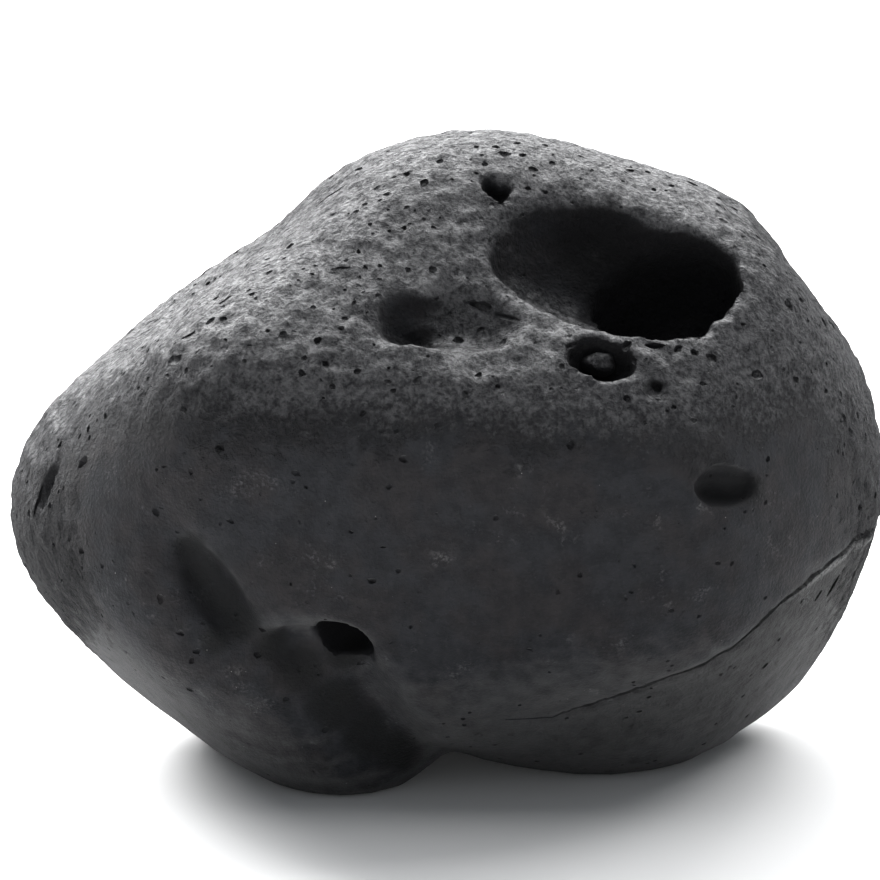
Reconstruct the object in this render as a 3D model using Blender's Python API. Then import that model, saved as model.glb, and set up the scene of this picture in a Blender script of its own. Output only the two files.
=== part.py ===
"""A river-worn cobble of dark vesicular basalt, 150 mm long, as one closed solid.

A ball of even quads is blown up from the stone's centre until it meets the faces that the river wore flat.
Swells and furrows then move that surface a little, a flat is ground where the stone rests, and gas hollows
and a crack are cut out. Azimuths run from +X towards +Y and elevations up from the horizon, both in degrees
and both seen from the stone's centre. The side with the large hollow in its shoulder faces -Y.
"""

import random
from math import acos, atan2, cos, degrees, exp, pi, radians, sin, tan

import bmesh
import bpy
from mathutils import Matrix, Vector, noise

MM = 0.001

# The stone's centre, above the flat that it rests on
CENTRE = Vector((-0.74, -1.93, 52)) * MM

# Cells along each edge of the cube that becomes the ball
BALL_CELLS = 17

# Worn faces: azimuth, elevation, distance from the centre in mm
WORN_FACES = {
    "front": (-92, -6, 51),
    "front_left": (-135, 8, 65),
    "front_right": (-45, 10, 67),
    "front_low": (-85, -50, 51),
    "shoulder": (-84, 54, 50),
    "top": (60, 76, 59.5),
    "top_right": (24, 66, 65),
    "slope_left": (172, 57, 49.3),
    "slope_left_low": (-178, 34, 62.5),
    "slope_right": (3, 36, 70),
    "end_left": (180, -10, 82),
    "end_right": (-5, 2, 78),
    "under_left": (-150, -42, 63.5),
    "under_right": (-33, -36, 66.5),
    "under_back": (76, -43, 57),
    "base": (0, -90, 53),
    "back": (93, 10, 54),
    "back_left": (140, -4, 64),
    "back_left_low": (124, -32, 60),
    "back_right": (45, -5, 65),
    "back_slope": (112, 45, 54.5),
    "back_top": (62, 48, 60),
}

# How crisp the rounded edges between worn faces are: 5 is nearly a ball, 40 a cut gem
EDGE_CRISPNESS = 12

# Swells, and dips where the height is negative: azimuth, elevation, half width in degrees, height in mm
SWELLS = (
    (-122, -58, 19, 6.9),
    (-25, -55, 18, 4),
    (-65, -72, 12, -1.2),
    (-8, -29, 10, -0.8),
    (174, 29, 14, -3.4),
    (165, 48, 9, -1.2),
    (143, 66, 15, 2.6),
    (-178, 6, 12, 2),
    (-178, -16, 12, 0.9),
    (-75, 82, 25, 2),
    (4, 10, 12, 1.2),
    (8, 26, 10, -1.1),
    (12, 39, 10, 2.2),
    (-53, 52, 10, -4.5),
    (-84, 41, 7, -2.5),
)

# Furrows: the places that the line runs through, half width in degrees, depth in mm
FURROWS = (
    (((-86, -80), (-86, -62), (-102, -52), (-111, -38), (-116, -30)), 6, 3.2),
)

# Folds: furrows with one steep side, which lies left of the line. The places that the line runs through with
# the depth in mm at each, and the half widths of the steep and of the soft side in degrees.
FOLDS = (
    {"places": ((-137, 6, 0), (-134, 0, 2), (-130, -7, 4.6), (-127, -14, 5.2), (-123, -21, 3.4), (-119, -27, 0)),
     "steep": 2.6, "soft": 6},
    {"places": ((-122, -16, 0), (-116, -18, 3.2), (-109, -21, 4.6), (-107, -28, 5), (-105, -36, 4.4),
                (-102, -45, 3.2), (-97, -54, 1.6), (-91, -66, 1), (-86, -80, 0.5)),
     "steep": 3.6, "soft": 8},
)

# The points that stand for a fold between two of its places, and how near to a fold the grid is halved, in
# degrees
FOLD_STEPS = 8
FINE_REACH = 6

# The crack, from behind the right end down to the front: the places that it runs through, its half width
# and depth in mm. The block under it stands back by the step, in mm. The step sets in over a few degrees
# below the crack and fades with the distance from its azimuth and from the crack.
CRACK = ((44, -7), (33, -4), (20, -7), (6, -6), (-8, -8), (-14, -7), (-23, -9), (-33, -12.5), (-40, -19),
         (-50, -27), (-57, -35), (-63, -41), (-76, -42))
CRACK_HALF_WIDTH = 0.9
CRACK_DEPTH = 1.4
BLOCK_STEP = 1.1
STEP_RISE = 3
STEP_AZIMUTH = -10
STEP_HALF_WIDTH = 36
STEP_HALF_HEIGHT = 26

# Slow unevenness of the whole surface, in mm: its height and the size of its waves
UNEVEN_HEIGHT = 0.5
UNEVEN_SIZE = 24

# Gas hollows. Each is a bubble whose middle lies under the skin at "place", "sunk" mm deep. It "faces" a
# direction, "roll" turns its length in the plane of its mouth, anticlockwise from outside, and "half" gives
# its half length, half height and half depth in mm.
HOLLOWS = {
    "big_bowl": {"place": (-43, 45.5), "sunk": -2, "faces": (-84, 50), "roll": -20, "half": (20.5, 13, 11)},
    "big_pocket": {"place": (-34, 40), "sunk": 7, "faces": (-66, 52), "roll": -14, "half": (12, 9.5, 15)},
    "dish": {"place": (-97, 41), "sunk": 0.5, "faces": (-85, 52), "roll": -8, "half": (6.2, 5, 5.5)},
    "dish_right": {"place": (-84, 41), "sunk": -2.2, "faces": (-85, 52), "roll": -8, "half": (8.5, 5, 4.2)},
    "eye": {"place": (-59, 30), "sunk": 1, "faces": (-82, 50), "roll": -16, "half": (5.4, 3.8, 5)},
    "top_hole": {"place": (-59, 71), "sunk": 0.8, "faces": (-80, 56), "roll": -10, "half": (2.5, 2.9, 4)},
    "oval": {"place": (-45, 7), "sunk": 0.2, "faces": (-54, 8), "roll": -9, "half": (6.2, 3.5, 4.4)},
    "burrow": {"place": (-110, -21), "sunk": 1.6, "faces": (-106, -16), "roll": -30, "half": (5.4, 4.4, 8)},
    "basin": {"place": (-116.5, -22), "sunk": -1.6, "faces": (-112, -28), "roll": -12, "half": (7.5, 5.4, 4.6)},
    "trough": {"place": (-130.5, -10.5), "sunk": -0.6, "faces": (-134, -16), "roll": -60, "half": (11, 4.4, 4)},
    "crease": {"place": (-162, 1), "sunk": 0, "faces": (-152, 12), "roll": 72, "half": (6.2, 1.4, 2)},
    "shelf": {"place": (-48, 29), "sunk": 0, "faces": (-74, 49), "roll": -6, "half": (3.6, 1.5, 1.8)},
    "nick": {"place": (-53, 23), "sunk": 0, "faces": (-75, 39), "roll": -10, "half": (2.3, 1.6, 2)},
    "back_bowl": {"place": (112, 24), "sunk": 0, "faces": (110, 22), "roll": 20, "half": (7, 5.5, 5)},
    "back_hole": {"place": (66, -4), "sunk": 1, "faces": (68, -2), "roll": -30, "half": (5, 4, 6)},
    "back_dish": {"place": (150, 4), "sunk": -0.5, "faces": (152, 4), "roll": 10, "half": (6.5, 4.4, 4)},
}

# Smaller open bubbles, scattered: how many, their radii in mm, the least angles between two of them, from
# a hollow and from the middle of the smooth front, and the lowest elevation that they have
PIT_COUNT = 10
PIT_RADII = (0.9, 1.7)
PIT_SPACING = 9
PIT_TO_HOLLOW = 16
FRONT = (-95, -10)
PIT_TO_FRONT = 60
LOWEST_PIT = -40
PIT_SEED = 7

# How unround bubbles are, as a share of their radius
WAVER = 0.12

# Half lengths in mm over which a hollow counts as large or medium
LARGE = 14
MEDIUM = 4

CHARCOAL = (0.045, 0.046, 0.050, 1)
ROUGHNESS = 0.85


def towards(azimuth, elevation):
    """The unit vector at an azimuth and elevation in degrees."""
    a, e = radians(azimuth), radians(elevation)
    return Vector((cos(a) * cos(e), sin(a) * cos(e), sin(e)))


def angle_between(a, b):
    """Degrees between two unit vectors."""
    return degrees(acos(max(-1, min(1, a.dot(b)))))


def bell(distance, half_width):
    """1 at no distance, falling smoothly to nearly nothing at twice the half width."""
    return exp(-((distance / half_width) ** 2))


def along(path, steps):
    """Directions along a line through several places, evenly between each two."""
    ends = [towards(*place) for place in path]
    points = [a.slerp(b, i / steps) for a, b in zip(ends, ends[1:]) for i in range(steps)]
    return points + [ends[-1]]


def worn_reach(direction):
    """How far the worn faces are, in mm, with their edges rounded."""
    total = 0
    for azimuth, elevation, distance in WORN_FACES.values():
        total += max(0, direction.dot(towards(azimuth, elevation)) / distance) ** EDGE_CRISPNESS
    return total ** (-1 / EDGE_CRISPNESS)


def block_step(direction):
    """How far the block under the crack stands back, in mm."""
    azimuth = degrees(atan2(direction.y, direction.x))
    elevation = degrees(atan2(direction.z, direction.xy.length))
    for (start, start_elevation), (end, end_elevation) in zip(CRACK, CRACK[1:]):
        if end <= azimuth <= start:
            share = (start - azimuth) / (start - end)
            below = start_elevation + share * (end_elevation - start_elevation) - elevation
            rise = max(0, min(1, below / STEP_RISE))
            fade = bell(azimuth - STEP_AZIMUTH, STEP_HALF_WIDTH) * bell(below, STEP_HALF_HEIGHT)
            return BLOCK_STEP * rise * fade
    return 0


def fold_depth(direction, fold):
    """How deep a fold is in a direction, in mm."""
    line = along([place[:2] for place in fold["places"]], FOLD_STEPS)
    gaps = [angle_between(direction, point) for point in line]
    nearest = gaps.index(min(gaps))
    ahead = line[min(nearest + 1, len(line) - 1)] - line[max(nearest - 1, 0)]
    is_steep = line[nearest].cross(ahead).dot(direction) > 0
    start, share = divmod(nearest / FOLD_STEPS, 1)
    before = fold["places"][int(start)][2]
    after = fold["places"][min(int(start) + 1, len(fold["places"]) - 1)][2]
    depth = before + (after - before) * share
    return depth * bell(gaps[nearest], fold["steep"] if is_steep else fold["soft"])


def skin(direction):
    """The point of the stone's skin in a direction from its centre, before any hollow is cut."""
    reach = worn_reach(direction) - block_step(direction)
    for azimuth, elevation, half_width, height in SWELLS:
        reach += height * bell(angle_between(direction, towards(azimuth, elevation)), half_width)
    for path, half_width, depth in FURROWS:
        nearest = min(angle_between(direction, point) for point in along(path, 6))
        reach -= depth * bell(nearest, half_width)
    reach -= max(fold_depth(direction, fold) for fold in FOLDS)
    reach += UNEVEN_HEIGHT * noise.noise(direction * (reach / UNEVEN_SIZE))
    return CENTRE + direction * reach * MM


def ball():
    """A mesh over a unit ball: a cube's grid, spread so that its cells open equal angles, finer at folds."""
    mesh = bmesh.new()
    bmesh.ops.create_cube(mesh, size=2)
    bmesh.ops.subdivide_edges(mesh, edges=mesh.edges, cuts=BALL_CELLS - 1, use_grid_fill=True)
    for vertex in mesh.verts:
        vertex.co = Vector([tan(c * pi / 4) for c in vertex.co]).normalized()
    lines = [along([place[:2] for place in fold["places"]], 2) for fold in FOLDS]
    points = [point for line in lines for point in line]
    near = []
    for edge in mesh.edges:
        middle = (edge.verts[0].co + edge.verts[1].co).normalized()
        if min(angle_between(middle, point) for point in points) < FINE_REACH:
            near.append(edge)
    bmesh.ops.subdivide_edges(mesh, edges=near, cuts=1, use_grid_fill=True)
    return mesh


def rest_on_floor(mesh):
    """Grinds the underside flat at z = 0."""
    everything = mesh.verts[:] + mesh.edges[:] + mesh.faces[:]
    cut = bmesh.ops.bisect_plane(mesh, geom=everything, plane_no=(0, 0, 1), clear_inner=True)
    rim = [item for item in cut["geom_cut"] if isinstance(item, bmesh.types.BMEdge)]
    bmesh.ops.holes_fill(mesh, edges=rim, sides=0)


def new_object(name, mesh):
    """Turns a bmesh into an object of the scene."""
    data = bpy.data.meshes.new(name)
    mesh.to_mesh(data)
    mesh.free()
    thing = bpy.data.objects.new(name, data)
    bpy.context.scene.collection.objects.link(thing)
    return thing


def facing(azimuth, elevation, roll=0):
    """A rotation whose Z looks along a direction and whose X is level, then rolled about Z."""
    out = towards(azimuth, elevation)
    level = Vector((0, 0, 1)).cross(out).normalized()
    axes = Matrix((level, out.cross(level), out)).transposed()
    return axes.to_4x4() @ Matrix.Rotation(radians(roll), 4, "Z")


def add_bubble(mesh, centre, turn, half, detail):
    """Adds a closed, slightly unround bubble with these half sizes in mm to a mesh."""
    made = bmesh.ops.create_icosphere(mesh, subdivisions=detail, radius=MM)["verts"]
    for vertex in made:
        swing = 1 + WAVER * noise.noise(vertex.co / MM * 1.6 + centre / MM * 0.2)
        vertex.co = Vector([c * swing * size for c, size in zip(vertex.co, half)])
    bmesh.ops.transform(mesh, matrix=Matrix.Translation(centre) @ turn, verts=made)


def hollow_cutter(name, hollow):
    """The cutter of one gas hollow. The larger it is, the finer its facets."""
    centre = skin(towards(*hollow["place"])) - towards(*hollow["faces"]) * hollow["sunk"] * MM
    size = max(hollow["half"])
    detail = 4 if size > LARGE else 3 if size > MEDIUM else 2
    mesh = bmesh.new()
    add_bubble(mesh, centre, facing(*hollow["faces"], hollow["roll"]), hollow["half"], detail)
    return new_object("cut_" + name, mesh)


def pit_places():
    """Directions of the scattered pits, clear of each other, of the hollows, the front and the base."""
    dice = random.Random(PIT_SEED)
    hollows = [towards(*hollow["place"]) for hollow in HOLLOWS.values()]
    places = []
    while len(places) < PIT_COUNT:
        direction = Vector([dice.gauss(0, 1) for _ in range(3)]).normalized()
        clear = all(angle_between(direction, other) > PIT_SPACING for other in places)
        clear = clear and all(angle_between(direction, other) > PIT_TO_HOLLOW for other in hollows)
        clear = clear and angle_between(direction, towards(*FRONT)) > PIT_TO_FRONT
        if clear and direction.z > sin(radians(LOWEST_PIT)):
            places.append(direction)
    return places


def pit_cutter():
    """One cutter with all the scattered pits."""
    dice = random.Random(PIT_SEED)
    mesh = bmesh.new()
    for direction in pit_places():
        radius = dice.uniform(*PIT_RADII)
        half = [radius * dice.uniform(0.8, 1.25) for _ in range(3)]
        add_bubble(mesh, skin(direction), Matrix.Identity(4), half, 2)
    return new_object("cut_pits", mesh)


def crack_cutter():
    """A diamond-shaped rod that follows the crack and lifts out of the skin at both ends."""
    mesh = bmesh.new()
    points = along(CRACK, 3)
    last = len(points) - 1
    section = Matrix.Diagonal((CRACK_HALF_WIDTH, CRACK_DEPTH, 1, 1))
    rings = []
    for i, direction in enumerate(points):
        ahead = skin(points[min(i + 1, last)]) - skin(points[max(i - 1, 0)])
        across = direction.cross(ahead).normalized()
        axes = Matrix((across, direction, across.cross(direction))).transposed().to_4x4()
        lift = CRACK_DEPTH * max(0, 1.2 - 0.4 * min(i, last - i))
        place = Matrix.Translation(skin(direction) + direction * lift * MM) @ axes @ section
        is_end = i in (0, last)
        made = bmesh.ops.create_circle(mesh, cap_ends=is_end, segments=4, radius=MM, matrix=place)["verts"]
        rings.append({edge for vertex in made for edge in vertex.link_edges})
    for ring, following in zip(rings, rings[1:]):
        bmesh.ops.bridge_loops(mesh, edges=list(ring | following))
    bmesh.ops.recalc_face_normals(mesh, faces=mesh.faces)
    return new_object("cut_crack", mesh)


def cut(stone, cutter):
    """Takes a cutter's shape out of the stone."""
    cutter.hide_render = True
    cutter.display_type = "WIRE"
    boolean = stone.modifiers.new(cutter.name, "BOOLEAN")
    boolean.operation = "DIFFERENCE"
    boolean.object = cutter


def basalt():
    """Dry, dark, matte basalt."""
    material = bpy.data.materials.new("basalt")
    material.use_nodes = True
    shader = material.node_tree.nodes["Principled BSDF"]
    shader.inputs["Base Color"].default_value = CHARCOAL
    shader.inputs["Roughness"].default_value = ROUGHNESS
    shader.inputs["Metallic"].default_value = 0
    return material


def build():
    """The stone, from an empty scene."""
    for thing in list(bpy.data.objects):
        bpy.data.objects.remove(thing)
    mesh = ball()
    for vertex in mesh.verts:
        vertex.co = skin(vertex.co.normalized())
    rest_on_floor(mesh)
    stone = new_object("river_rock", mesh)
    stone.data.materials.append(basalt())
    for name, hollow in HOLLOWS.items():
        cut(stone, hollow_cutter(name, hollow))
    cut(stone, crack_cutter())
    cut(stone, pit_cutter())
    stone.data.shade_smooth()


build()
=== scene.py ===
"""The river rock as it looks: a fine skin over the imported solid, its basalt, a pale floor and soft light.

Lengths are in metres and +Z is up. The photograph looks along +Y, from the side of the large hollow.
"""

import random
from math import atan2, cos, degrees, exp, radians, sin

import bmesh
import bpy
from mathutils import Matrix, Vector, noise
from mathutils.bvhtree import BVHTree


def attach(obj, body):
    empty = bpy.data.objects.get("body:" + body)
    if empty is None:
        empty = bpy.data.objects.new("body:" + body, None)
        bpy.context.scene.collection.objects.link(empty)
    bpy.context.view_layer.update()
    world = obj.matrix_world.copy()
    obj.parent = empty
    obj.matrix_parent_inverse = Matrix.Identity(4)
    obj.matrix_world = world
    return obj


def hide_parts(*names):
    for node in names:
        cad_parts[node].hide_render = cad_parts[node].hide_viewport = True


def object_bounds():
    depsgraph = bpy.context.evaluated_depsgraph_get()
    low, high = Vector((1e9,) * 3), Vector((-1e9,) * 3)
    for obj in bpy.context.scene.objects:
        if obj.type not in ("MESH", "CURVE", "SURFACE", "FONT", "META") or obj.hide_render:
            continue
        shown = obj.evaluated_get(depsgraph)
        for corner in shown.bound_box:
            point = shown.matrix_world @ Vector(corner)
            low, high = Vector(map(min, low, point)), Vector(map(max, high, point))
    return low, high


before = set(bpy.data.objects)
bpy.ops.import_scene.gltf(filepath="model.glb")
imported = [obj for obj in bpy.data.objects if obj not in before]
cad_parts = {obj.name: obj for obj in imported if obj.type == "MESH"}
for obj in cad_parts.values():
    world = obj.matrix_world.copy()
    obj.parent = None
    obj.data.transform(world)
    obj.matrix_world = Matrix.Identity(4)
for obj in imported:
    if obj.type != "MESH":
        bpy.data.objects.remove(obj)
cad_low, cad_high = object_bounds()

MM = 0.001

# The camera: how far it stands from the stone's middle, how far it looks down, what it aims at and what
# width it sees there
CAMERA_DISTANCE = 800 * MM
CAMERA_DOWN = 15
CAMERA_AIM = Vector((-1.3, -1, 55.2)) * MM
VIEW_WIDTH = 151.5 * MM

# Places on the front are given as the camera sees them, in 880ths of the picture's width from its left and
# from its top edge, and sizes beside them in the same unit
PICTURE = 880

# The fine skin: the size of its grid, how often it is smoothed and the triangles that it is thinned to
GRID = 0.8 * MM
SMOOTHINGS = 3
SKIN_TRIANGLES = 95000

# Spots that the river wore softer: across, down, half width, and how often they are smoothed
WORN_SPOTS = (
    (520, 235, 40), (560, 212, 30), (605, 212, 28), (650, 222, 26), (695, 240, 24), (612, 268, 24),
    (640, 245, 22), (680, 262, 18), (545, 285, 20), (395, 318, 32), (455, 322, 40), (500, 322, 26),
    (190, 550, 26), (210, 590, 34), (240, 622, 26), (270, 650, 26), (295, 670, 26), (330, 690, 34),
    (385, 740, 30), (345, 668, 14), (500, 182, 12), (666, 349, 14), (715, 232, 24), (722, 252, 18),
    (180, 560, 20), (225, 560, 24), (180, 590, 20), (590, 300, 22), (598, 275, 24), (618, 255, 26),
    (645, 242, 26), (675, 235, 26), (705, 238, 24), (730, 255, 16), (175, 545, 24), (255, 640, 24),
    (248, 597, 26), (262, 622, 22), (236, 578, 24), (203, 540, 22), (386, 682, 20), (400, 705, 22), (415, 728, 18),
)
WORN_SMOOTHINGS = 110
# How steeply a spot's strength falls from its middle to its rim
SPOT_FALL = 1.5

# Spots that stay polished although the stone around them is rough, and get no pale dust, which paints these hollows
# darker as shade: across, down, half width
POLISHED_SPOTS = ((560, 262, 38), (597, 290, 30), (540, 240, 28), (620, 240, 30), (680, 270, 40),
                  (402, 314, 26), (300, 640, 24))

# Spots painted darker as shade, in grooves, hollows and under overhangs, and spots with pale chips: across, down,
# half width
SHADE_SPOTS = (
    (203, 572, 26), (220, 598, 28), (240, 622, 26), (215, 640, 20), (272, 645, 22), (300, 668, 30), (335, 705, 34),
    (368, 733, 32), (398, 750, 28), (714, 488, 20), (731, 488, 22), (748, 488, 20), (345, 650, 26), (600, 250, 60),
    (690, 275, 50), (836, 585, 12), (190, 548, 20),
)
CHIPPED_SPOTS = (
    (232, 672, 9), (240, 686, 8), (205, 640, 7), (122, 578, 8), (136, 590, 7), (150, 611, 7), (330, 562, 8),
    (440, 560, 10), (392, 722, 7), (700, 505, 8), (716, 509, 8), (735, 511, 8), (752, 507, 8), (365, 312, 6),
    (600, 690, 8), (560, 640, 7), (670, 600, 7), (520, 470, 7), (560, 528, 7), (500, 540, 7), (655, 523, 7),
    (60, 585, 8), (80, 612, 8), (310, 745, 7), (770, 560, 9),
)

# Small lumps: across, down, half width, height in mm
LUMPS = ((648, 352, 8, 0.6), (700, 330, 9, -0.8), (414, 328, 20, 1.6), (500, 187, 9, 1.6))

# A knob inside the small hollow: where it is seen, its half width, depth and height, how far it stands out
# of the hollow's wall and how ragged it is
KNOB = (600, 364)
KNOB_SIZE = (2.9 * MM, 2.4 * MM, 1.9 * MM)
KNOB_OUT = 1.2 * MM
KNOB_RAGGED = 0.3
KNOB_DETAIL = 3

# The stone's heart, from which the crack is laid out by azimuth (from +X towards +Y) and elevation. The crack
# is as wide as its half widths, in mm, goes this deep and leans upwards into the stone.
HEART = Vector((-0.74, -1.93, 52)) * MM
CRACK = ((44, -7, 0.3), (33, -4, 0.4), (20, -7, 0.5), (6, -6, 0.7), (-8, -8, 1.0), (-14, -7, 0.75),
         (-23, -9, 0.8), (-33, -12.5, 0.5), (-40, -19, 0.4), (-50, -27, 0.34), (-57, -35, 0.28),
         (-63, -41, 0.24), (-76, -42, 0.2))
CRACK_DEPTH = 2.4 * MM
CRACK_LEAN = 32
CRACK_STEPS = 9
# How far it wanders and how much its width swells, each with the size of its waves
CRACK_WANDER = (0.35 * MM, 3 * MM)
CRACK_SWELL = (0.6, 2.2 * MM)
# The azimuths over which what lies below it fades in at the front and out behind
CRACK_FADE_IN = (-74, -40)
CRACK_FADE_OUT = (10, 40)

# The pale lip below the crack, a painted highlight where its edge catches the light: how wide it is, how much wider
# it gets and the azimuths over which it does so, how pale it is at the narrow end, how soft its upper edge is, and
# the share of its width over which it fades
LIP_WIDTH = 0.5 * MM
LIP_WIDENING = 1.1 * MM
LIP_WIDENS = (-38, -18)
LIP_START = 0.12
LIP_EDGE = 0.3 * MM
LIP_FADE = (0.6, 1.3)

# How far the block with the patina reaches below the crack, and how near to the crack the skin isn't thinned
BLOCK_REACH = (20 * MM, 36 * MM)
CRACK_SKIN = 3 * MM

# Round holes on the front and the slope: across, down, half width
HOLES = (
    (317, 341, 4), (325, 364, 3.5), (345, 319, 3), (404, 228, 3.5), (424, 183, 4), (365, 268, 3.5),
    (407, 208, 3), (408, 270, 3), (184, 410, 3.5), (223, 319, 3), (268, 331, 3), (523, 155, 4),
    (533, 169, 4), (545, 145, 3), (765, 266, 3), (674, 407, 3), (694, 421, 4), (851, 432, 4.5),
    (570, 446, 4.5), (645, 423, 2.5), (478, 375, 3), (220, 449, 5), (191, 472, 3), (296, 473, 3.5),
    (306, 487, 2.5), (389, 487, 3), (397, 431, 2.5), (317, 434, 2.5), (156, 512, 4), (230, 521, 3),
    (372, 581, 4), (398, 571, 2.5), (102, 566, 3), (180, 633, 3.5), (160, 599, 4), (192, 661, 3.5),
    (262, 630, 3), (257, 655, 3), (286, 699, 3.5), (325, 730, 3), (60, 445, 4), (80, 436, 3.5),
    (88, 429, 3), (768, 459, 3), (718, 563, 2.5), (732, 563, 2.5), (580, 575, 2.5), (558, 592, 2.5),
    (765, 598, 2.5), (802, 601, 3), (631, 592, 2), (743, 696, 3), (747, 716, 3), (704, 744, 2.5),
    (649, 697, 2.5), (765, 666, 3.5), (657, 387, 6), (712, 359, 6), (694, 352, 5), (678, 349, 4),
    (571, 346, 5), (627, 345, 6), (634, 361, 4),
)

# Long slits: across, down, half length, half width, and how far they turn from level, in degrees
SLITS = (
    (332, 194, 18, 2.6, 32), (205, 272, 12, 2, 35), (250, 243, 10, 2, 34), (150, 322, 9, 1.8, 40),
    (170, 306, 7, 1.8, 38), (120, 352, 8, 1.8, 42), (225, 300, 9, 2.2, 30), (190, 335, 8, 2.4, 30),
    (290, 235, 9, 2, 30), (655, 346, 13, 4, 0), (833, 586, 11, 6, 55), (848, 600, 6, 3, 70), (818, 596, 6, 3, 40),
    (38, 500, 18, 2.4, 62), (480, 306, 12, 4, -10), (508, 318, 9, 3, -15), (340, 268, 8, 2.4, 10),
)

# The rough upper slope starts at this height and is full over the next few millimetres; the two ends are
# rough beyond these distances from the middle, and the back behind this line and above its own height. The
# start sinks towards the ends.
ROUGH_HEIGHT = 71.5 * MM
ROUGH_FADE = 6 * MM
ROUGH_SINK = 1.3
ROUGH_LEFT = 58 * MM
ROUGH_RIGHT = 63 * MM
ROUGH_BACK = 10 * MM
BACK_HEIGHT = 34 * MM
# How far the border wanders, with the size of its waves
BORDER_WAVES = ((4 * MM, 14 * MM), (2 * MM, 5 * MM))

# Waves of the skin: height and size, of the whole stone and of the rough part
WAVES = (0.16 * MM, 7 * MM)
ROUGH_WAVES = (0.34 * MM, 2.8 * MM)
# How much more they go in than out, as a share of their height
WAVE_SINK = 0.6

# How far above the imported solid's underside the skin stays
REST_GAP = 0.03 * MM

# Open bubbles: radii, how many are tried, the share of them that the smooth part keeps, and their detail
BUBBLE_SIZES = (
    {"radii": (0.8 * MM, 1.5 * MM), "tries": 120, "smooth_share": 0, "detail": 2},
    {"radii": (0.5 * MM, 0.8 * MM), "tries": 900, "smooth_share": 0.03, "detail": 2},
    {"radii": (0.35 * MM, 0.5 * MM), "tries": 2000, "smooth_share": 0.25, "detail": 1},
)
HOLE_DETAIL = 2

# As shares of their radius: how ragged they are, their half length, width and depth, how far holes and
# scattered bubbles are sunk, and the gap between two of them, as a share of both
BUBBLE_RAGGED = 0.55
BUBBLE_SHAPE = ((0.9, 1.4), (0.75, 1.1), (0.8, 1.2))
HOLE_SINK = (-0.25, 0.15)
BUBBLE_SINK = (-0.6, -0.05)
BUBBLE_GAP = 1.25
BUBBLE_SEED = 11
# How many are made at a time, because a small bmesh is quicker
BATCH = 60

# Edges sharper than this are creased
CREASE_ANGLE = 38

# How sheltered the skin is, is felt out with this many rays all round and this far; it sets the painted shade in the
# hollows. What is near counts for less, so that small bubbles get less painted shade than large hollows.
FEELERS = 36
FEELER_REACH = 45 * MM
NEAR_SHARE = 0.4
NEAR = (0.8 * MM, 5 * MM)
FEELER_TURN = 137.5
FEELER_START = 0.3 * MM
LEAST_FACING = 0.1

# The sizes of the basalt's patterns
GRAIN = 0.55 * MM
RIPPLES = 0.95 * MM
SWELLS = 2.6 * MM
MOTTLES = 3.2 * MM
SCUFFS = 9 * MM
TINTS = 11 * MM
LARGE_PITS = 2.6 * MM
SMALL_PITS = 1.2 * MM
SPECKS = 0.9 * MM
FLECKS = 3.4 * MM
# How far they are swirled about, after the size of the swirls, and the same for the border of the rough part
SWIRL = (1.6 * MM, 1.0 * MM)
BORDER_SWIRL = (14 * MM, 16 * MM)
# Towards the left more of the painted top light falls, and towards the right the steep parts are painted lighter
LEFT_TOP_LIGHT = (15 * MM, 60 * MM)
RIGHT_SLOPE_LIGHT = (40 * MM, 66 * MM)
RELIEF_HEIGHT = 0.6 * MM

# Its colours, from dark to light where there are two
BLUISH = ((0.0068, 0.0074, 0.0093, 1), (0.0146, 0.0154, 0.0182, 1))
WARM = ((0.0074, 0.0070, 0.0084, 1), (0.0162, 0.0148, 0.0158, 1))
PATINA = ((0.003, 0.0035, 0.0033, 1), (0.015, 0.0159, 0.0147, 1))
# The three dust colours are shaded and lit copies of one pale dust: painted shade on steep faces, painted light on
# the slope and most on faces turned up
SHADED_DUST = ((0.009, 0.009, 0.0105, 1), (0.036, 0.036, 0.0392, 1))
LIT_SLOPE_DUST = ((0.018, 0.018, 0.021, 1), (0.140, 0.140, 0.145, 1))
TOP_LIT_DUST = ((0.08, 0.08, 0.084, 1), (0.44, 0.44, 0.445, 1))
PAINTED_GLINT = (0.024, 0.0245, 0.026, 1)
PALE_LIT_UNDERSIDE = (0.052, 0.052, 0.053, 1)
FLECK = (0.005, 0.0055, 0.0058, 1)
SCUFF = (0.08, 0.08, 0.085, 1)
CHIP_AND_LIP_HIGHLIGHT = (0.16, 0.16, 0.16, 1)
PAINTED_SHADE = (0.0022, 0.0025, 0.0026, 1)
PIT_SHADE = (0.012, 0.012, 0.014, 1)
SPECK = (0.30, 0.30, 0.29, 1)
HOLLOW_SHADE = (0.005, 0.005, 0.006, 1)

# The room: the floor's half width and colour, the light from all round, and the soft boxes, each with its place,
# width and power
FLOOR_HALF = 6
FLOOR = (0.74, 0.74, 0.74, 1)
ROOM = (0.9, 0.95, 1, 1)
ROOM_STRENGTH = 0.33
SOFT_BOXES = {
    "overhead": ((0.0, 0.2, 1.9), 2.4, 30),
    "behind": ((0.3, 1.5, 1.3), 1.5, 64),
    "behind_left": ((-1.0, 1.15, 1.0), 0.8, 98),
    "behind_right": ((1.1, 0.5, 1.4), 0.8, 18),
    "front": ((0.1, -2.2, 0.35), 0.7, 5),
}


def smooth_step(value, start, end):
    """0 up to start, 1 from end on, and an even ramp between."""
    share = max(0, min(1, (value - start) / (end - start)))
    return share * share * (3 - 2 * share)


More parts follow.
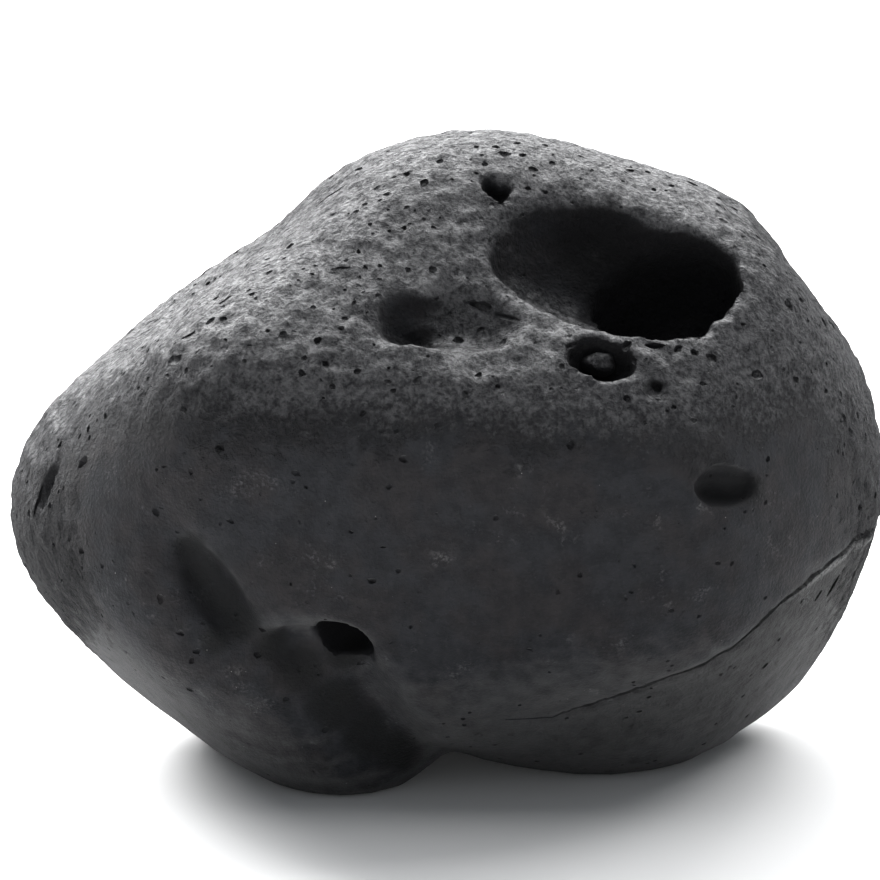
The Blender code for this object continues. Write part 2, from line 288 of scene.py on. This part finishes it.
def roughness_at(place):
    """How rough the stone is at a place, from 0 on the polished front to 1 on the upper slope."""
    wander = sum(height * noise.noise(place / size) for height, size in BORDER_WAVES)
    height = place.z + wander + ROUGH_SINK * place.x * place.x / (1000 * MM)
    upper = smooth_step(height, ROUGH_HEIGHT, ROUGH_HEIGHT + ROUGH_FADE)
    left = smooth_step(-place.x + wander, ROUGH_LEFT, ROUGH_LEFT + ROUGH_FADE)
    right = smooth_step(place.x + wander, ROUGH_RIGHT, ROUGH_RIGHT + ROUGH_FADE)
    behind = smooth_step(place.y + wander, ROUGH_BACK, ROUGH_BACK + ROUGH_FADE)
    behind *= smooth_step(place.z + wander, BACK_HEIGHT, BACK_HEIGHT + ROUGH_FADE)
    return max(upper, left, right, behind)


def camera_axes():
    """The camera's place, and the directions to its right, up and ahead."""
    down = radians(CAMERA_DOWN)
    ahead = Vector((0, cos(down), -sin(down)))
    return CAMERA_AIM - ahead * CAMERA_DISTANCE, Vector((1, 0, 0)), Vector((0, sin(down), cos(down))), ahead


def seen(place):
    """Where in the picture a place is, across and down."""
    camera, right, up, ahead = camera_axes()
    offset = place - camera
    scale = PICTURE * CAMERA_DISTANCE / VIEW_WIDTH / offset.dot(ahead)
    return PICTURE / 2 + offset.dot(right) * scale, PICTURE / 2 - offset.dot(up) * scale


def under(stone, across, down):
    """The place and normal of the skin that the camera sees at a place in the picture."""
    camera, right, up, ahead = camera_axes()
    unit = VIEW_WIDTH / PICTURE
    sight = ahead * CAMERA_DISTANCE + right * (across - PICTURE / 2) * unit + up * (PICTURE / 2 - down) * unit
    hit, place, normal, _ = stone.ray_cast(camera, sight.normalized())
    return (place, normal) if hit else None


def applied(thing):
    """Applies an object's modifiers to its mesh."""
    evaluated = thing.evaluated_get(bpy.context.evaluated_depsgraph_get())
    mesh = bpy.data.meshes.new_from_object(evaluated)
    thing.modifiers.clear()
    thing.data = mesh
    return thing


def new_object(name, mesh):
    """Turns a bmesh into an object of the scene."""
    data = bpy.data.meshes.new(name)
    mesh.to_mesh(data)
    mesh.free()
    thing = bpy.data.objects.new(name, data)
    bpy.context.scene.collection.objects.link(thing)
    return thing


def even_skin(node):
    """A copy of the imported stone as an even, slightly softened grid."""
    mesh = bmesh.new()
    mesh.from_mesh(node.data)
    bmesh.ops.remove_doubles(mesh, verts=mesh.verts, dist=0.001 * MM)
    stone = new_object("stone", mesh)
    remesh = stone.modifiers.new("even", "REMESH")
    remesh.mode = "VOXEL"
    remesh.voxel_size = GRID
    soften = stone.modifiers.new("soften", "SMOOTH")
    soften.iterations = SMOOTHINGS
    applied(stone)
    worn = stone.vertex_groups.new(name="worn")
    for vertex in stone.data.vertices:
        wear = near_spot(vertex.co, WORN_SPOTS)
        if wear > 0 and vertex.co.y < 0:
            worn.add([vertex.index], wear, "REPLACE")
    wear_down = stone.modifiers.new("wear", "SMOOTH")
    wear_down.iterations = WORN_SMOOTHINGS
    wear_down.vertex_group = "worn"
    applied(stone)
    stone.vertex_groups.clear()
    return stone


def wave_skin(stone):
    """Moves the skin in and out a little: slow waves all over, and short ones where it is rough."""
    height, size = WAVES
    rough_height, rough_size = ROUGH_WAVES
    normals = [vertex.normal.copy() for vertex in stone.data.vertices]
    for vertex, normal in zip(stone.data.vertices, normals):
        rough = roughness_at(vertex.co)
        shift = height * (noise.noise(vertex.co / size) - WAVE_SINK)
        shift += rough * rough_height * (noise.fractal(vertex.co / rough_size, 1, 2, 3) - WAVE_SINK)
        if vertex.co.y < 0:
            x, y = seen(vertex.co)
            for across, down, half, rise in LUMPS:
                shift += rise * MM * exp(-((x - across) ** 2 + (y - down) ** 2) / half ** 2)
        vertex.co += normal * shift
        vertex.co.z = max(vertex.co.z, cad_low.z + REST_GAP)


def thin_skin(stone):
    """Thins the grid where it is flat, but not at the crack, a spot of painted shade or a chip."""
    flats = stone.vertex_groups.new(name="flats")
    for vertex in stone.data.vertices:
        gap, strength, _, _ = below_crack(vertex.co)
        marked = vertex.co.y < 0 and near_spot(vertex.co, SHADE_SPOTS + CHIPPED_SPOTS)
        if (abs(gap) > CRACK_SKIN or strength == 0) and not marked:
            flats.add([vertex.index], 1, "REPLACE")
    thin = stone.modifiers.new("thin", "DECIMATE")
    thin.ratio = SKIN_TRIANGLES / (2 * len(stone.data.polygons))
    thin.vertex_group = "flats"
    thin.vertex_group_factor = 1
    applied(stone)
    stone.vertex_groups.clear()


def crack_blade(stone):
    """A thin wedge that follows the crack, wandering a little, and leans upwards into the stone."""
    ends = [(direction(azimuth, elevation), half) for azimuth, elevation, half in CRACK]
    line = []
    for (start, half), (end, next_half) in zip(ends, ends[1:]):
        for i in range(CRACK_STEPS):
            share = i / CRACK_STEPS
            line.append((start.slerp(end, share), half + (next_half - half) * share))
    hits = [(stone.ray_cast(HEART, out)[1], out, half) for out, half in line]
    height, size = CRACK_WANDER
    swelling, swell_size = CRACK_SWELL
    mesh = bmesh.new()
    rings = []
    last = len(hits) - 1
    for i, (place, out, half) in enumerate(hits):
        ahead = hits[min(i + 1, last)][0] - hits[max(i - 1, 0)][0]
        across = out.cross(ahead).normalized()
        axes = Matrix((across, out, across.cross(out))).transposed().to_4x4()
        lean = Matrix.Rotation(radians(-CRACK_LEAN), 4, "Z")
        swell = 1 + swelling * noise.noise(place / swell_size)
        section = Matrix.Diagonal((half * swell * MM, CRACK_DEPTH, 1, 1))
        wander = across * height * noise.noise(place / size)
        matrix = Matrix.Translation(place + wander) @ axes @ lean @ section
        made = bmesh.ops.create_circle(mesh, cap_ends=i in (0, last), segments=4, radius=1, matrix=matrix)["verts"]
        rings.append({edge for vertex in made for edge in vertex.link_edges})
    for ring, following in zip(rings, rings[1:]):
        bmesh.ops.bridge_loops(mesh, edges=list(ring | following))
    bmesh.ops.recalc_face_normals(mesh, faces=mesh.faces)
    return new_object("cut_crack", mesh)


def direction(azimuth, elevation):
    """The unit vector at an azimuth and elevation in degrees."""
    a, e = radians(azimuth), radians(elevation)
    return Vector((cos(a) * cos(e), sin(a) * cos(e), sin(e)))


def upright(normal, angle):
    """Axes with Z along a normal and X turned by an angle from the picture's level."""
    _, right, up, _ = camera_axes()
    along = right * cos(radians(angle)) + up * sin(radians(angle))
    along = (along - normal * along.dot(normal)).normalized()
    return Matrix((along, normal.cross(along), normal)).transposed().to_4x4()


def bubble_places(stone):
    """Open bubbles: the ones read off the picture, then others scattered clear of each other, largest first.

    Each has its place, radius, axes, how much longer than wide it is, its detail and how far it is sunk.
    """
    dice = random.Random(BUBBLE_SEED)
    faces = stone.data.polygons
    areas = [face.area for face in faces]
    cell = 2 * BUBBLE_SIZES[0]["radii"][1] * BUBBLE_GAP
    cells = {}
    bubbles = []

    def cell_of(place):
        return tuple(int(c // cell) for c in place)

    def keep_clear(place, radius):
        cells.setdefault(cell_of(place), []).append((place, radius))

    round_holes = [(across, down, half, half, None) for across, down, half in HOLES]
    for across, down, length, half, angle in (*round_holes, *SLITS):
        found = under(stone, across, down)
        if found:
            place, normal = found
            radius = half * VIEW_WIDTH / PICTURE
            keep_clear(place, radius)
            turn = upright(normal, dice.uniform(0, 180) if angle is None else angle)
            bubbles.append((place, radius, turn, length / half, HOLE_DETAIL, HOLE_SINK))
    for kind in BUBBLE_SIZES:
        for face in dice.choices(faces, weights=areas, k=kind["tries"]):
            place = face.center.copy()
            small, large = kind["radii"]
            radius = small + (large - small) * dice.random() ** 2
            keep = max(kind["smooth_share"], roughness_at(place))
            i, j, k = cell_of(place)
            near = [other for di in (-1, 0, 1) for dj in (-1, 0, 1) for dk in (-1, 0, 1)
                    for other in cells.get((i + di, j + dj, k + dk), ())]
            clear = all((place - p).length > BUBBLE_GAP * (radius + r) for p, r in near)
            clear = clear and not (place.y < 0 and near_spot(place, POLISHED_SPOTS))
            if clear and dice.random() < keep and place.z > 3 * radius:
                keep_clear(place, radius)
                turn = upright(face.normal, dice.uniform(0, 180))
                bubbles.append((place, radius, turn, 1, kind["detail"], BUBBLE_SINK))
    return bubbles


def bubble_cutter(stone):
    """All the scattered bubbles as one object."""
    dice = random.Random(BUBBLE_SEED)
    bubbles = bubble_places(stone)
    whole = bmesh.new()
    for start in range(0, len(bubbles), BATCH):
        batch = bmesh.new()
        for place, radius, axes, stretch, detail, sinks in bubbles[start:start + BATCH]:
            made = bmesh.ops.create_icosphere(batch, subdivisions=detail, radius=radius)["verts"]
            for vertex in made:
                vertex.co *= 1 + BUBBLE_RAGGED * noise.noise(vertex.co / radius + place / MM)
            long, wide, deep = (dice.uniform(*limits) for limits in BUBBLE_SHAPE)
            shape = Matrix.Diagonal((long * stretch, wide, deep, 1))
            sink = Matrix.Translation(place - axes.col[2].to_3d() * radius * dice.uniform(*sinks))
            bmesh.ops.transform(batch, matrix=sink @ axes @ shape, verts=made)
        data = bpy.data.meshes.new("batch")
        batch.to_mesh(data)
        batch.free()
        whole.from_mesh(data)
        bpy.data.meshes.remove(data)
    return new_object("cut_bubbles", whole)


def knob(stone):
    """The ragged knob that the camera sees in the small hollow."""
    place, _ = under(stone, *KNOB)
    camera = camera_axes()[0]
    middle = place + (camera - place).normalized() * KNOB_OUT
    mesh = bmesh.new()
    made = bmesh.ops.create_icosphere(mesh, subdivisions=KNOB_DETAIL, radius=1)["verts"]
    for vertex in made:
        vertex.co *= 1 + KNOB_RAGGED * noise.noise(vertex.co * 1.5)
    bmesh.ops.transform(mesh, matrix=Matrix.Translation(middle) @ Matrix.Diagonal((*KNOB_SIZE, 1)), verts=made)
    return new_object("add_knob", mesh)


def combine(stone, other, operation):
    """Adds another object to the stone or takes it out, and removes it."""
    boolean = stone.modifiers.new("combine", "BOOLEAN")
    boolean.operation = operation
    boolean.solver = "MANIFOLD"
    boolean.object = other
    applied(stone)
    bpy.data.objects.remove(other)


def below_crack(place):
    """How far a place lies below the crack's lower edge, the crack's strength, and its lip's width and paleness."""
    out = place - HEART
    azimuth = degrees(atan2(out.y, out.x))
    elevation = degrees(atan2(out.z, out.xy.length))
    for (start, height, half), (end, end_height, end_half) in zip(CRACK, CRACK[1:]):
        if end <= azimuth <= start:
            share = (start - azimuth) / (start - end)
            gap = radians(height + share * (end_height - height) - elevation) * out.length
            gap -= (half + share * (end_half - half)) * MM
            strength = smooth_step(azimuth, *CRACK_FADE_IN) * (1 - smooth_step(azimuth, *CRACK_FADE_OUT))
            end = smooth_step(azimuth, *LIP_WIDENS)
            return gap, strength, LIP_WIDTH + LIP_WIDENING * end, LIP_START + (1 - LIP_START) * end
    return 100 * MM, 0, LIP_WIDTH, 0


def near_spot(place, spots):
    """1 in the middle of any of some spots of the picture, falling to 0 at their rims."""
    x, y = seen(place)
    nearest = min(((x - across) ** 2 + (y - down) ** 2) / (size * size) for across, down, size in spots)
    return max(0, 1 - nearest ** SPOT_FALL)


def note(mesh, name, values, where="POINT"):
    """Keeps a value for each point, or each corner, of a mesh."""
    mesh.attributes.new(name, "FLOAT", where).data.foreach_set("value", values)


def spotted(mesh, spots):
    """How near each point of the front is to some spots of the picture."""
    return [near_spot(vertex.co, spots) if vertex.co.y < 0 else 0 for vertex in mesh.vertices]


def crack_notes(mesh):
    """How much each point belongs to the pale lip below the crack, a painted highlight, and to the paler block."""
    lips = []
    blocks = []
    start, end = LIP_FADE
    for vertex in mesh.vertices:
        gap, strength, width, pale = below_crack(vertex.co)
        below = smooth_step(gap, -LIP_EDGE, LIP_EDGE) * strength
        lips.append(below * pale * (1 - smooth_step(gap, width * start, width * end)))
        blocks.append(below * (1 - smooth_step(gap, *BLOCK_REACH)))
    return lips, blocks


def sheltered(stone):
    """How hidden each point is by the stone around it: 0 in the open, 1 deep in a hollow."""
    tree = BVHTree.FromObject(stone, bpy.context.evaluated_depsgraph_get())
    feelers = []
    for i in range(FEELERS):
        height = 1 - 2 * (i + 0.5) / FEELERS
        turn = i * radians(FEELER_TURN)
        flat = (1 - height * height) ** 0.5
        feelers.append(Vector((flat * cos(turn), flat * sin(turn), height)))
    shares = []
    for vertex in stone.data.vertices:
        start = vertex.co + vertex.normal * FEELER_START
        total = hidden = 0
        for feeler in feelers:
            facing = feeler.dot(vertex.normal)
            if facing > LEAST_FACING:
                total += facing
                distance = tree.ray_cast(start, feeler, FEELER_REACH)[3]
                if distance is not None:
                    hidden += facing * (NEAR_SHARE + (1 - NEAR_SHARE) * smooth_step(distance, *NEAR))
        shares.append(hidden / total)
    return shares


def note_skin(stone):
    """Notes on the mesh what the basalt's pattern follows."""
    shares = sheltered(stone)
    lips, blocks = crack_notes(stone.data)
    marks = {"polish": POLISHED_SPOTS, "painted_shade": SHADE_SPOTS, "chips": CHIPPED_SPOTS}
    notes = {name: spotted(stone.data, spots) for name, spots in marks.items()}
    notes.update({"shelter": shares, "lip": lips, "block": blocks})
    upward = [corner.vector.z for corner in stone.data.corner_normals]
    for name, values in notes.items():
        note(stone.data, name, values)
    note(stone.data, "upward", upward, "CORNER")


class Socket:
    """A shader socket that Python's operators work on. Each operation adds a Math node."""

    def __init__(self, nodes, output):
        self.nodes = nodes
        self.output = output

    def math(self, operation, *others, **settings):
        inputs = {0: self}
        inputs.update({i + 1: other for i, other in enumerate(others)})
        return self.nodes.add("ShaderNodeMath", {"operation": operation, **settings}, inputs)

    def __add__(self, other):
        return self.math("ADD", other)

    def __sub__(self, other):
        return self.math("SUBTRACT", other)

    def __rsub__(self, other):
        return (self * -1).math("ADD", other)

    def __mul__(self, other):
        return self.math("MULTIPLY", other)

    __radd__ = __add__
    __rmul__ = __mul__

    def greatest(self, other):
        return self.math("MAXIMUM", other)

    def ramp(self, start, end):
        """0 up to start, 1 from end on, smooth between."""
        settings = {"interpolation_type": "SMOOTHSTEP"}
        return self.nodes.add("ShaderNodeMapRange", settings, {"Value": self, "From Min": start, "From Max": end})


class Shader:
    """Builds one material's nodes."""

    def __init__(self, name):
        self.material = bpy.data.materials.new(name)
        self.material.use_nodes = True
        self.tree = self.material.node_tree
        self.surface = self.tree.nodes["Principled BSDF"]

    def add(self, kind, settings, inputs, output=0):
        """One node: its type, its settings, the values or links of its sockets, and which output to use."""
        node = self.tree.nodes.new(kind)
        for name, value in settings.items():
            setattr(node, name, value)
        for key, value in inputs.items():
            self.feed(node.inputs[key], value)
        return Socket(self, node.outputs[output])

    def feed(self, socket, value):
        """Links a socket or sets its value."""
        if isinstance(value, Socket):
            self.tree.links.new(value.output, socket)
        else:
            socket.default_value = value

    def place(self):
        """Object coordinates, in metres."""
        return self.add("ShaderNodeTexCoord", {}, {}, "Object")

    def noise(self, place, size, detail=2, roughness=0.5):
        """Noise from 0 to 1 with features about this size, in metres."""
        inputs = {"Vector": place, "Scale": 1 / size, "Detail": detail, "Roughness": roughness}
        return self.add("ShaderNodeTexNoise", {}, inputs)

    def shifted(self, place, size, amount):
        """A place moved about by noise, so that what is drawn there is less regular."""
        swirl = self.add("ShaderNodeTexNoise", {}, {"Vector": place, "Scale": 1 / size}, "Color")
        centred = self.add("ShaderNodeVectorMath", {"operation": "SUBTRACT"}, {0: swirl, 1: (0.5, 0.5, 0.5)})
        scaled = self.add("ShaderNodeVectorMath", {"operation": "SCALE"}, {0: centred, "Scale": amount})
        return self.add("ShaderNodeVectorMath", {"operation": "ADD"}, {0: place, 1: scaled})

    def noted(self, name):
        """A value that was noted at each point of the mesh."""
        return self.add("ShaderNodeAttribute", {"attribute_name": name}, {}, "Fac")

    def axis(self, place, name):
        """One coordinate of a place."""
        return self.add("ShaderNodeSeparateXYZ", {}, {0: place}, name)

    def mix(self, share, first, second):
        """Two colours mixed."""
        return self.add("ShaderNodeMix", {"data_type": "RGBA"}, {0: share, 6: first, 7: second}, 2)

    def bump(self, height, distance):
        """A normal bent by a height, which is in units of this many metres."""
        return self.add("ShaderNodeBump", {}, {"Height": height, "Distance": distance, "Strength": 1})


def pits(shader, place, size, share, widest):
    """Small holes from a cell pattern: 1 in a hole and 0 outside, with a share of the cells holed."""
    inputs = {"Vector": place, "Scale": 1 / size, "Randomness": 1.0}
    distance = shader.add("ShaderNodeTexVoronoi", {}, inputs, "Distance")
    colour = shader.add("ShaderNodeTexVoronoi", {}, inputs, "Color")
    chance = shader.axis(colour, "X")
    width = shader.axis(colour, "Y") * (widest * 0.6) + widest * 0.4
    inside = (width - distance).ramp(0, 0.12)
    return inside * (share - chance).ramp(0, 0.02)


def worn_share(shader, place):
    """How worn the stone is, from 0 on the polished front to 1 on the upper slope, the ends and the back."""
    across, back, up = (shader.axis(place, name) for name in ("X", "Y", "Z"))
    size, reach = BORDER_SWIRL
    wander = (shader.noise(place, size, 3) - 0.5) * reach
    sunk = up + wander + across * across * (ROUGH_SINK / (1000 * MM))
    upper = sunk.ramp(ROUGH_HEIGHT - 1.8 * ROUGH_FADE, ROUGH_HEIGHT + 1.9 * ROUGH_FADE)
    left = (across * -1 + wander).ramp(ROUGH_LEFT - 1.2 * ROUGH_FADE, ROUGH_LEFT + 3 * ROUGH_FADE)
    right = (across + wander).ramp(ROUGH_RIGHT - ROUGH_FADE, ROUGH_RIGHT + 3 * ROUGH_FADE)
    behind = (back + wander).ramp(ROUGH_BACK - 2 * ROUGH_FADE, ROUGH_BACK + 2 * ROUGH_FADE)
    behind = behind * (up + wander).ramp(BACK_HEIGHT - 3 * ROUGH_FADE, BACK_HEIGHT + 3 * ROUGH_FADE)
    return 1 - (1 - upper) * (1 - left) * (1 - right) * (1 - behind)


def patterns(shader, place, swirled):
    """The noises that the basalt's colours and relief share: grain, ripples, waves and mottle."""
    grain = shader.noise(place, GRAIN, 2, 0.6)
    ripples = shader.noise(swirled, RIPPLES, 4, 0.62)
    waves = shader.noise(swirled, SWELLS, 6, 0.7)
    mottle = shader.noise(place, MOTTLES, 5, 0.65)
    return grain, ripples, waves, mottle


def polished_stone(shader, place, swirled, grain, ripples, mottle, scuff):
    """Smooth stone: bluish to warm grey and grainy, with painted glints, the block's patina, flecks, scuffs and an
    underside painted paler, as light from below and its own scuffed tone.
    """
    block = shader.noted("block")
    light = mottle.ramp(0.32, 0.68)
    tint = shader.noise(place, TINTS, 3, 0.6)
    colour = shader.mix(tint.ramp(0.4, 0.6), shader.mix(light, *BLUISH), shader.mix(light, *WARM))
    # Painted glints: lighter specks where the grain rises
    colour = shader.mix((grain * 0.5 + ripples * 0.5).ramp(0.5, 0.72) * 0.5, colour, PAINTED_GLINT)
    patina = shader.mix((mottle * 0.5 + ripples * 0.5).ramp(0.42, 0.66), *PATINA)
    colour = shader.mix(block * 0.75, colour, patina)
    # Painted light from below: faces turned down are paler, partly their own scuffed tone
    underside_light = (shader.noted("upward") * -1 + (mottle - 0.5) * 0.6).ramp(0.3, 0.95)
    colour = shader.mix(underside_light, colour, PALE_LIT_UNDERSIDE)
    flecks = pits(shader, swirled, FLECKS, 0.35, 0.3)
    colour = shader.mix(flecks * (block * 0.4 + 0.45), colour, FLECK)
    return shader.mix(scuff * grain.ramp(0.45, 0.7) * 0.6, colour, SCUFF)


def dust_and_painted_light(shader, place, worn, grain, ripples, waves):
    """Rough stone: pale dust on what stands up, painted darker on steep faces and lighter where the surface faces up,
    as light from above falls.
    """
    high = waves * 0.35 + ripples * 0.45 + grain * 0.2
    pale = (high + (worn - 1) * 0.1).ramp(0.36, 0.64)
    across = shader.axis(place, "X")
    to_left = (across * -1).ramp(*LEFT_TOP_LIGHT) * 0.15
    to_right = across.ramp(*RIGHT_SLOPE_LIGHT)
    # Painted light: the dust is lit more the more its face turns up
    facing = shader.noted("upward") + (waves - 0.5) * 0.3
    sloping = (facing + to_right * 0.16).ramp(0.05, 0.6)
    level = (facing + to_left - to_right * 0.06).ramp(0.66, 0.98)
    colour = shader.mix(sloping, shader.mix(pale, *SHADED_DUST), shader.mix(pale, *LIT_SLOPE_DUST))
    return shader.mix(level, colour, shader.mix(pale, *TOP_LIT_DUST))


def basalt():
    """Dark grey basalt: polished and nearly even on the front, pitted and dusty where it is rough, with painted shade
    in hollows, pits and grooves and painted light on faces turned up.
    """
    shader = Shader("basalt")
    place = shader.place()
    swirled = shader.shifted(place, *SWIRL)
    grain, ripples, waves, mottle = patterns(shader, place, swirled)
    shelter = shader.noted("shelter")
    chips = shader.noted("chips")
    worn = worn_share(shader, place)
    rough = (worn + (waves - 0.5) * 1.4).ramp(0.15, 0.8)
    # Sheltered places and polished spots get no pale dust, pits or specks, which paints the hollows darker as shade
    out_of_hollows = (1 - shelter.ramp(0.06, 0.38)) * (1 - shader.noted("polish").ramp(0, 0.6) * 0.9)
    scuff = shader.noise(place, SCUFFS, 5, 0.75).ramp(0.56, 0.7) * (1 - rough)
    large_pits = pits(shader, swirled, LARGE_PITS, rough * 0.4 + 0.02, 0.34)
    small_pits = pits(shader, swirled, SMALL_PITS, rough * 0.3 + 0.03, 0.34)
    holes = large_pits.greatest(small_pits)
    specks = pits(shader, place, SPECKS, scuff * 0.12 + chips * 0.5 + 0.04, 0.15)
    broken = (grain * 0.4 + ripples * 0.6).ramp(0.36, 0.56)

    polished = polished_stone(shader, place, swirled, grain, ripples, mottle, scuff)
    dusty = dust_and_painted_light(shader, place, worn, grain, ripples, waves)
    colour = shader.mix(rough * out_of_hollows, polished, dusty)
    # Painted highlight on the lip below the crack
    colour = shader.mix(shader.noted("lip") * broken * 0.85, colour, CHIP_AND_LIP_HIGHLIGHT)
    colour = shader.mix(chips * mottle.ramp(0.5, 0.6) * grain.ramp(0.4, 0.6) * 0.35, colour, CHIP_AND_LIP_HIGHLIGHT)
    # Painted shade in the grooves, the hollows and under the overhangs
    colour = shader.mix(shader.noted("painted_shade").ramp(0, 1.1) * 0.85, colour, PAINTED_SHADE)
    # Pits painted darker, as the shade inside them
    colour = shader.mix(holes * out_of_hollows * 0.35, colour, PIT_SHADE)
    colour = shader.mix(specks * out_of_hollows, colour, SPECK)
    # Painted shade: darker the deeper a place sits in a hollow
    colour = shader.mix(shelter.ramp(0.02, 0.55) * 0.85, colour, HOLLOW_SHADE)
    shader.feed(shader.surface.inputs["Base Color"], colour)
    shader.feed(shader.surface.inputs["Roughness"], rough * 0.2 + 0.7)
    shader.surface.inputs["Specular IOR Level"].default_value = 0.2

    relief = ((waves - 0.5) * 6 + (ripples - 0.5) * 8 + (grain - 0.5) * 1.5) * rough
    relief = relief + (waves - 0.5) * (shader.noted("block") * 1.6 + 0.45)
    relief = relief + (grain - 0.5) * (scuff * 0.4 + 0.35) - holes * 0.8
    shader.feed(shader.surface.inputs["Normal"], shader.bump(relief * (out_of_hollows * 0.7 + 0.3), RELIEF_HEIGHT))
    return shader.material


def make_stone():
    """The stone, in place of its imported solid."""
    stone = even_skin(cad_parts["river_rock"])
    wave_skin(stone)
    thin_skin(stone)
    combine(stone, crack_blade(stone), "DIFFERENCE")
    combine(stone, bubble_cutter(stone), "DIFFERENCE")
    combine(stone, knob(stone), "UNION")
    stone.data.shade_smooth()
    stone.data.set_sharp_from_angle(angle=radians(CREASE_ANGLE))
    note_skin(stone)
    stone.data.materials.clear()
    stone.data.materials.append(basalt())
    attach(stone, "root")
    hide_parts("river_rock")


def make_floor():
    """A plain, nearly white floor."""
    mesh = bmesh.new()
    bmesh.ops.create_grid(mesh, size=FLOOR_HALF)
    floor = new_object("floor", mesh)
    shader = Shader("floor")
    shader.surface.inputs["Base Color"].default_value = FLOOR
    shader.surface.inputs["Roughness"].default_value = 0.9
    floor.data.materials.append(shader.material)


def aimed(place, target):
    """A rotation that looks from a place towards a target."""
    return (target - place).to_track_quat("-Z", "Y").to_euler()


def soft_light(name, place, size, power):
    """A square soft box that lights the stone."""
    data = bpy.data.lights.new(name, "AREA")
    data.shape = "SQUARE"
    data.size = size
    data.energy = power
    light = bpy.data.objects.new(name, data)
    light.location = place
    light.rotation_euler = aimed(Vector(place), CAMERA_AIM)
    bpy.context.scene.collection.objects.link(light)


def light_room():
    """Wide soft boxes overhead and behind, dimmer ones to the right and low in front, and a dim room."""
    for name, (place, size, power) in SOFT_BOXES.items():
        soft_light(name, place, size, power)
    world = bpy.data.worlds.new("room")
    world.use_nodes = True
    background = world.node_tree.nodes["Background"].inputs
    background["Color"].default_value = ROOM
    background["Strength"].default_value = ROOM_STRENGTH
    bpy.context.scene.world = world
    bpy.context.scene.view_settings.view_transform = "Standard"


def set_camera():
    """The photograph's camera: level across, looking down a little, from the front."""
    data = bpy.data.cameras.new("camera")
    data.sensor_width = 36
    data.lens = data.sensor_width * CAMERA_DISTANCE / VIEW_WIDTH
    data.clip_start = 0.01
    camera = bpy.data.objects.new("camera", data)
    camera.location = camera_axes()[0]
    camera.rotation_euler = aimed(camera.location, CAMERA_AIM)
    bpy.context.scene.collection.objects.link(camera)
    bpy.context.scene.camera = camera


make_stone()
make_floor()
light_room()
set_camera()
